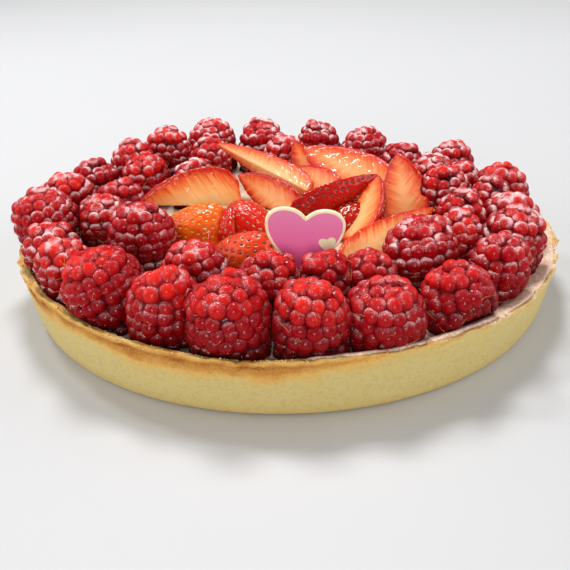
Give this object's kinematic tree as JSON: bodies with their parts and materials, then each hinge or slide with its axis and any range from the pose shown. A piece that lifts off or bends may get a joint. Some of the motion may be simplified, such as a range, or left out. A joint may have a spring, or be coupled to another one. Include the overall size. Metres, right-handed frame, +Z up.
{
  "type": "berry tart",
  "caption": "Round shortcrust tart with a low flared case, a level cream filling, rings of upright raspberries, cut strawberries heaped in the middle and a heart-shaped plaque.",
  "frame": {"origin": "middle of the case's underside, where it rests", "axes": "+Z up, -Y towards the front, where the plaque faces, +X to the right seen from the front"},
  "size_m": [0.1809, 0.18, 0.0409],
  "materials": {
    "crust": "dry baked shortcrust, browned at the rim",
    "cream": "soft baked cream, stained by fruit juice",
    "raspberry": "moist fruit dusted with icing sugar",
    "strawberry": "glazed fruit, wet and shiny",
    "plaque": "smooth tempered chocolate, pink with a cream edge"
  },
  "bodies": {
    "root": {"crust": "crust", "filling": "cream", "raspberry_01": "raspberry", "raspberry_02": "raspberry", "raspberry_03": "raspberry", "raspberry_04": "raspberry", "raspberry_05": "raspberry", "raspberry_06": "raspberry", "raspberry_07": "raspberry", "raspberry_08": "raspberry", "raspberry_09": "raspberry", "raspberry_10": "raspberry", "raspberry_11": "raspberry", "raspberry_12": "raspberry", "raspberry_13": "raspberry", "raspberry_14": "raspberry", "raspberry_15": "raspberry", "raspberry_16": "raspberry", "raspberry_17": "raspberry", "raspberry_18": "raspberry", "raspberry_19": "raspberry", "raspberry_20": "raspberry", "raspberry_21": "raspberry", "raspberry_22": "raspberry", "raspberry_23": "raspberry", "raspberry_24": "raspberry", "raspberry_25": "raspberry", "raspberry_26": "raspberry", "raspberry_27": "raspberry", "raspberry_28": "raspberry", "raspberry_29": "raspberry", "raspberry_30": "raspberry", "raspberry_31": "raspberry", "raspberry_32": "raspberry", "raspberry_33": "raspberry", "raspberry_34": "raspberry", "raspberry_35": "raspberry", "raspberry_36": "raspberry", "raspberry_37": "raspberry", "raspberry_38": "raspberry", "raspberry_39": "raspberry", "raspberry_40": "raspberry", "raspberry_41": "raspberry", "strawberry_back_left": "strawberry", "strawberry_dark_wedge": "strawberry", "strawberry_front_right": "strawberry", "strawberry_large_back": "strawberry", "strawberry_large_left": "strawberry", "strawberry_low_left": "strawberry", "strawberry_low_right": "strawberry", "strawberry_middle_left": "strawberry", "strawberry_middle_right": "strawberry", "strawberry_seedy_front": "strawberry", "strawberry_seedy_left": "strawberry", "strawberry_small_back": "strawberry", "strawberry_standing_sliver": "strawberry", "strawberry_thin_back": "strawberry", "strawberry_upright_right": "strawberry", "plaque": "plaque"}
  },
  "joints": []
}
